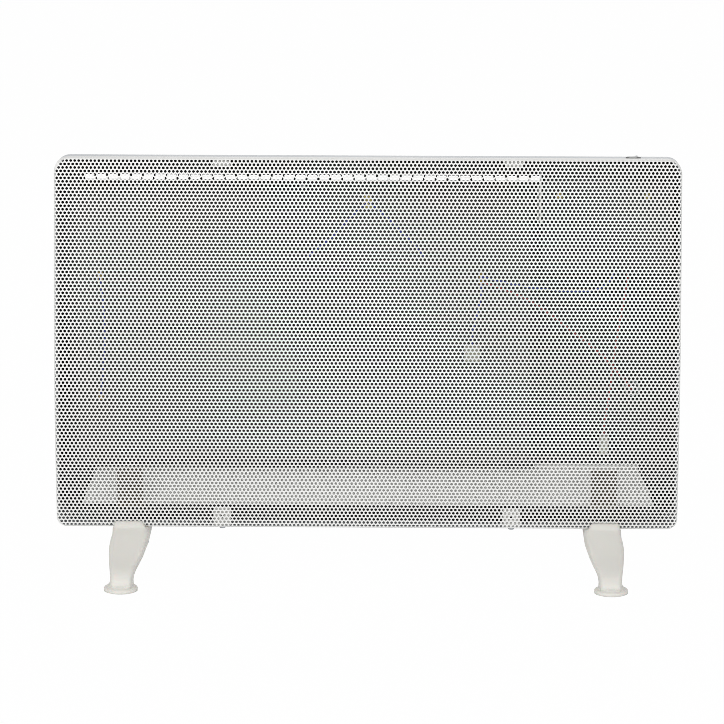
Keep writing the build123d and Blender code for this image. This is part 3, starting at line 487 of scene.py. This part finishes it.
bentFlange()
print("flange bent")

# A foot's leg in stations from the lip to the ankle, in millimetres: front and back point (y, z)
# of the section, then its outer and inner edge from the heater's middle
foot = {
    "leg": [
        ((-34.0, 60.6), (-29.6, 60.6), 284.6, 254.0),
        ((-36.0, 60.0), (-29.4, 57.0), 286.6, 251.4),
        ((-37.8, 56.4), (-29.0, 53.2), 287.4, 249.6),
        ((-41.0, 54.0), (-28.0, 52.6), 288.0, 246.4),
        ((-46.0, 52.0), (-26.0, 37.5), 289.0, 245.0),
        ((-54.0, 48.0), (-40.0, 35.5), 290.2, 245.8),
        ((-62.0, 44.0), (-53.0, 32.5), 290.8, 247.6),
        ((-76.0, 36.6), (-66.0, 27.5), 290.2, 250.2),
        ((-90.0, 30.6), (-77.0, 22.5), 289.2, 253.6),
        ((-103.0, 25.4), (-86.0, 17.5), 288.0, 257.0),
        ((-112.0, 21.0), (-91.0, 13.5), 287.2, 258.8),
        ((-118.0, 15.5), (-93.6, 9.5), 286.8, 259.4),
        ((-120.2, 10.0), (-93.4, 6.5), 287.2, 259.2),
        ((-120.6, 4.0), (-93.0, 3.0), 287.4, 259.0),
    ],
    "rearLip": [  # stands taller behind the shell, in place of the first stations
        ((-34.2, 72.0), (-29.8, 72.0), 284.6, 254.0),
        ((-35.0, 70.5), (-29.6, 70.5), 286.6, 251.4),
        ((-36.6, 58.0), (-29.6, 55.0), 287.4, 249.6),
    ],
    "saddle": {"top": (0, 52.4), "under": (0, 37.0), "outer": 288.0, "inner": 245.2, "reach": 30.0},
    "draft": 2.2,  # how much narrower the front of a section is, on each side
    "squareness": 5.0,  # 2 is an oval, more is squarer
    "disc": [  # height and radius up the disc and its collar
        (0.0, 17.5), (0.5, 18.9), (3.0, 19.0), (4.4, 18.3), (5.0, 16.6), (5.6, 15.0), (8.0, 13.6),
    ],
    "discAt": (273.8, 107.0),
    "legPoints": 40,
    "discPoints": 64,
}


def legSection(front, back, outer, inner, side, end):
    angle = np.linspace(0, 2 * math.pi, foot["legPoints"], endpoint=False)
    power = 2 / foot["squareness"]
    across = np.sign(np.cos(angle)) * np.abs(np.cos(angle)) ** power
    through = np.sign(np.sin(angle)) * np.abs(np.sin(angle)) ** power
    half = (outer - inner) / 2 - foot["draft"] * (1 - through) / 2
    share = (through + 1) / 2
    x = side * ((outer + inner) / 2 + across * half)
    y = -end * (front[0] + (back[0] - front[0]) * share)
    z = front[1] + (back[1] - front[1]) * share
    return np.stack([x, y, z], axis=-1)


def discRings(x, y):
    turn = np.linspace(0, 2 * math.pi, foot["discPoints"], endpoint=False)
    return [
        np.stack([x + r * np.cos(turn), y + r * np.sin(turn), np.full_like(turn, z)], axis=-1)
        for z, r in foot["disc"]
    ]


def mouldFoot(place, side):
    material = finishes["mouldedPolypropylene"]
    saddle = foot["saddle"]
    rearLip = foot["rearLip"]
    legs = {"Front": (-1, foot["leg"]), "Rear": (1, rearLip + foot["leg"][len(rearLip) :])}
    pieces = []
    for half, (end, stations) in legs.items():
        rings = [legSection(*station, side, end) for station in stations]
        pieces.append(loftPiece(f"foot{place}{half}Leg", rings, material))
        rings = discRings(side * foot["discAt"][0], end * foot["discAt"][1])
        pieces.append(loftPiece(f"foot{place}{half}Disc", rings, material))
    ring = legSection(saddle["top"], saddle["under"], saddle["outer"], saddle["inner"], side, 1)
    rings = [ring + np.array([0, y, 0]) for y in (-saddle["reach"], 0, saddle["reach"])]
    pieces.append(loftPiece(f"foot{place}Saddle", rings, material))
    for piece in pieces:
        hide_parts(f"foot_{place.lower()}")
        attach(piece, "heater")


mouldFoot("Left", -1)
mouldFoot("Right", 1)
print("feet moulded")

# The plate over each foot, behind the front: a stay whose dark colour is painted shade for the
# darker patch that shows there
stay = {
    "middle": 267.5,
    "half": 14.5,
    "low": 77.0,
    "high": 122.0,
    "y": -28.5,
    "lean": 5.5,
    "thick": 1.2,
}


def foldStay(name, side):
    back = (stay["high"] - stay["low"]) * math.tan(math.radians(stay["lean"]))
    left, right = side * stay["middle"] - stay["half"], side * stay["middle"] + stay["half"]
    rings = []
    for z, y in ((stay["low"], stay["y"]), (stay["high"], stay["y"] - back)):
        behind = y + stay["thick"]
        rings.append(np.array([(left, y, z), (right, y, z), (right, behind, z), (left, behind, z)]))
    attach(loftPiece(name, rings, finishes["paintedShadeSteel"], smooth=False), "heater")


foldStay("footStayShadeLeft", -1)
foldStay("footStayShadeRight", 1)
print("stays set")

# The blue lead that climbs to the clip under the top edge and comes down again
lead = {
    "points": [
        (-70, -2, 358),
        (-55, -4, 371.5),
        (-39.5, -5, 383.5),
        (-25.5, -5, 399.5),
        (-12, -4, 413),
        (0, -3, 424),
        (14, -4, 413),
        (28.5, -5, 399.5),
        (38, -5, 389),
        (49, -5, 380),
        (56, -4, 370),
        (64, -2, 361),
    ],
    "radius": 1.25,
    "sides": 10,
}


def layLead(name):
    points = np.array(lead["points"], float)
    turn = np.linspace(0, 2 * math.pi, lead["sides"], endpoint=False)[:, None]
    rings = []
    for k, point in enumerate(points):
        along = points[min(k + 1, len(points) - 1)] - points[max(k - 1, 0)]
        along /= np.linalg.norm(along)
        aside = np.cross(along, (0, 1, 0))
        aside /= np.linalg.norm(aside)
        across = np.cross(aside, along)
        rings.append(point + lead["radius"] * (np.cos(turn) * aside + np.sin(turn) * across))
    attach(loftPiece(name, rings, finishes["bluePvc"]), "heater")


layLead("climbingLead")
print("lead laid")

# Plain white studio: floorSize in metres, whiteShare how white the floor looks to the camera
# under the object's shadow, ambient the world's strength as a light
room = {
    "floorSize": 16.0,
    "floorColour": "FAFAFA",
    "floorRough": 0.9,
    "whiteShare": 0.985,
    "ambient": 0.5,
}


def seenDirectly(tree):
    # 1 for what the camera sees, also in metal and through glass
    path = addNode(tree, "ShaderNodeLightPath").outputs
    mirrored = addNode(
        tree,
        "ShaderNodeMath",
        links={0: path["Is Camera Ray"], 1: path["Is Glossy Ray"]},
        operation="MAXIMUM",
    )
    through = addNode(
        tree,
        "ShaderNodeMath",
        links={0: mirrored.outputs[0], 1: path["Is Transmission Ray"]},
        operation="MAXIMUM",
    )
    return through.outputs[0]


def makeFloor():
    half = room["floorSize"] / 2
    corners = [(-half, -half, 0), (half, -half, 0), (half, half, 0), (-half, half, 0)]
    paper = bpy.data.materials.new("whitePaperFloor")
    paper.use_nodes = True
    tree = paper.node_tree
    shader = tree.nodes["Principled BSDF"]
    shader.inputs["Base Color"].default_value = linear(room["floorColour"])
    shader.inputs["Roughness"].default_value = room["floorRough"]
    path = addNode(tree, "ShaderNodeLightPath").outputs
    seen = addNode(
        tree,
        "ShaderNodeMath",
        {1: room["whiteShare"]},
        {0: path["Is Camera Ray"]},
        operation="MULTIPLY",
    )
    white = addNode(tree, "ShaderNodeEmission", {"Color": (1, 1, 1, 1), "Strength": 1.0})
    sources = {0: seen.outputs[0], 1: shader.outputs[0], 2: white.outputs[0]}
    blend = addNode(tree, "ShaderNodeMixShader", links=sources)
    tree.links.new(blend.outputs[0], tree.nodes["Material Output"].inputs["Surface"])
    newPiece("floor", corners, [(0, 1, 2, 3)], paper)


def makeWorld():
    world = bpy.data.worlds.new("studio")
    bpy.context.scene.world = world
    world.use_nodes = True
    tree = world.node_tree
    strength = addNode(
        tree,
        "ShaderNodeMapRange",
        {"To Min": room["ambient"], "To Max": 1.0},
        {"Value": seenDirectly(tree)},
    )
    background = tree.nodes["Background"]
    background.inputs["Color"].default_value = (1, 1, 1, 1)
    tree.links.new(strength.outputs["Result"], background.inputs["Strength"])


# Soft boxes: place and size in metres, power in watts
lamps = {
    "keyBox": dict(place=(-1.5, -3.0, 1.5), size=1.8, power=43),
    "fillBox": dict(place=(1.9, -3.0, 1.0), size=2.0, power=25),
    "backBox": dict(place=(0.4, 2.4, 1.6), size=1.8, power=7),
}
lampAim = Vector((0, 0, 0.25))


def makeLamps():
    for name, lamp in lamps.items():
        light = bpy.data.lights.new(name, "AREA")
        light.shape = "SQUARE"
        light.size = lamp["size"]
        light.energy = lamp["power"]
        holder = bpy.data.objects.new(name, light)
        place = Vector(lamp["place"])
        holder.location = place
        holder.rotation_euler = (lampAim - place).to_track_quat("-Z", "Y").to_euler()
        bpy.context.scene.collection.objects.link(holder)


# Fitted to the photograph: a long lens from the front, a little above. Focal length and frame in
# pixels, sensor in millimetres, turns in degrees, the rest in metres
shot = {
    "focal": 4500,
    "frame": 724,
    "sensor": 36,
    "pitch": 12.3,
    "yaw": 0.7,
    "roll": 0.13,
    "distance": 5.08,
    "aim": (-0.0061, 0, 0.2393),
}


def makeCamera():
    lens = bpy.data.cameras.new("camera")
    lens.sensor_width = shot["sensor"]
    lens.lens = shot["focal"] / shot["frame"] * lens.sensor_width
    camera = bpy.data.objects.new("camera", lens)
    pitch, yaw, roll = (math.radians(shot[turn]) for turn in ("pitch", "yaw", "roll"))
    away = Vector((0, -math.cos(pitch), math.sin(pitch))) * shot["distance"]
    camera.matrix_world = (
        Matrix.Translation(shot["aim"])
        @ Matrix.Rotation(yaw, 4, "Z")
        @ Matrix.Translation(away)
        @ Matrix.Rotation(math.radians(90) - pitch, 4, "X")
        @ Matrix.Rotation(roll, 4, "Z")
    )
    bpy.context.scene.collection.objects.link(camera)
    bpy.context.scene.camera = camera


makeFloor()
makeWorld()
makeLamps()
makeCamera()
bpy.context.scene.view_settings.view_transform = "Standard"
bpy.context.scene.cycles.filter_width = 0.8  # crisp holes, as in the photograph
print("room, lamps and camera set")
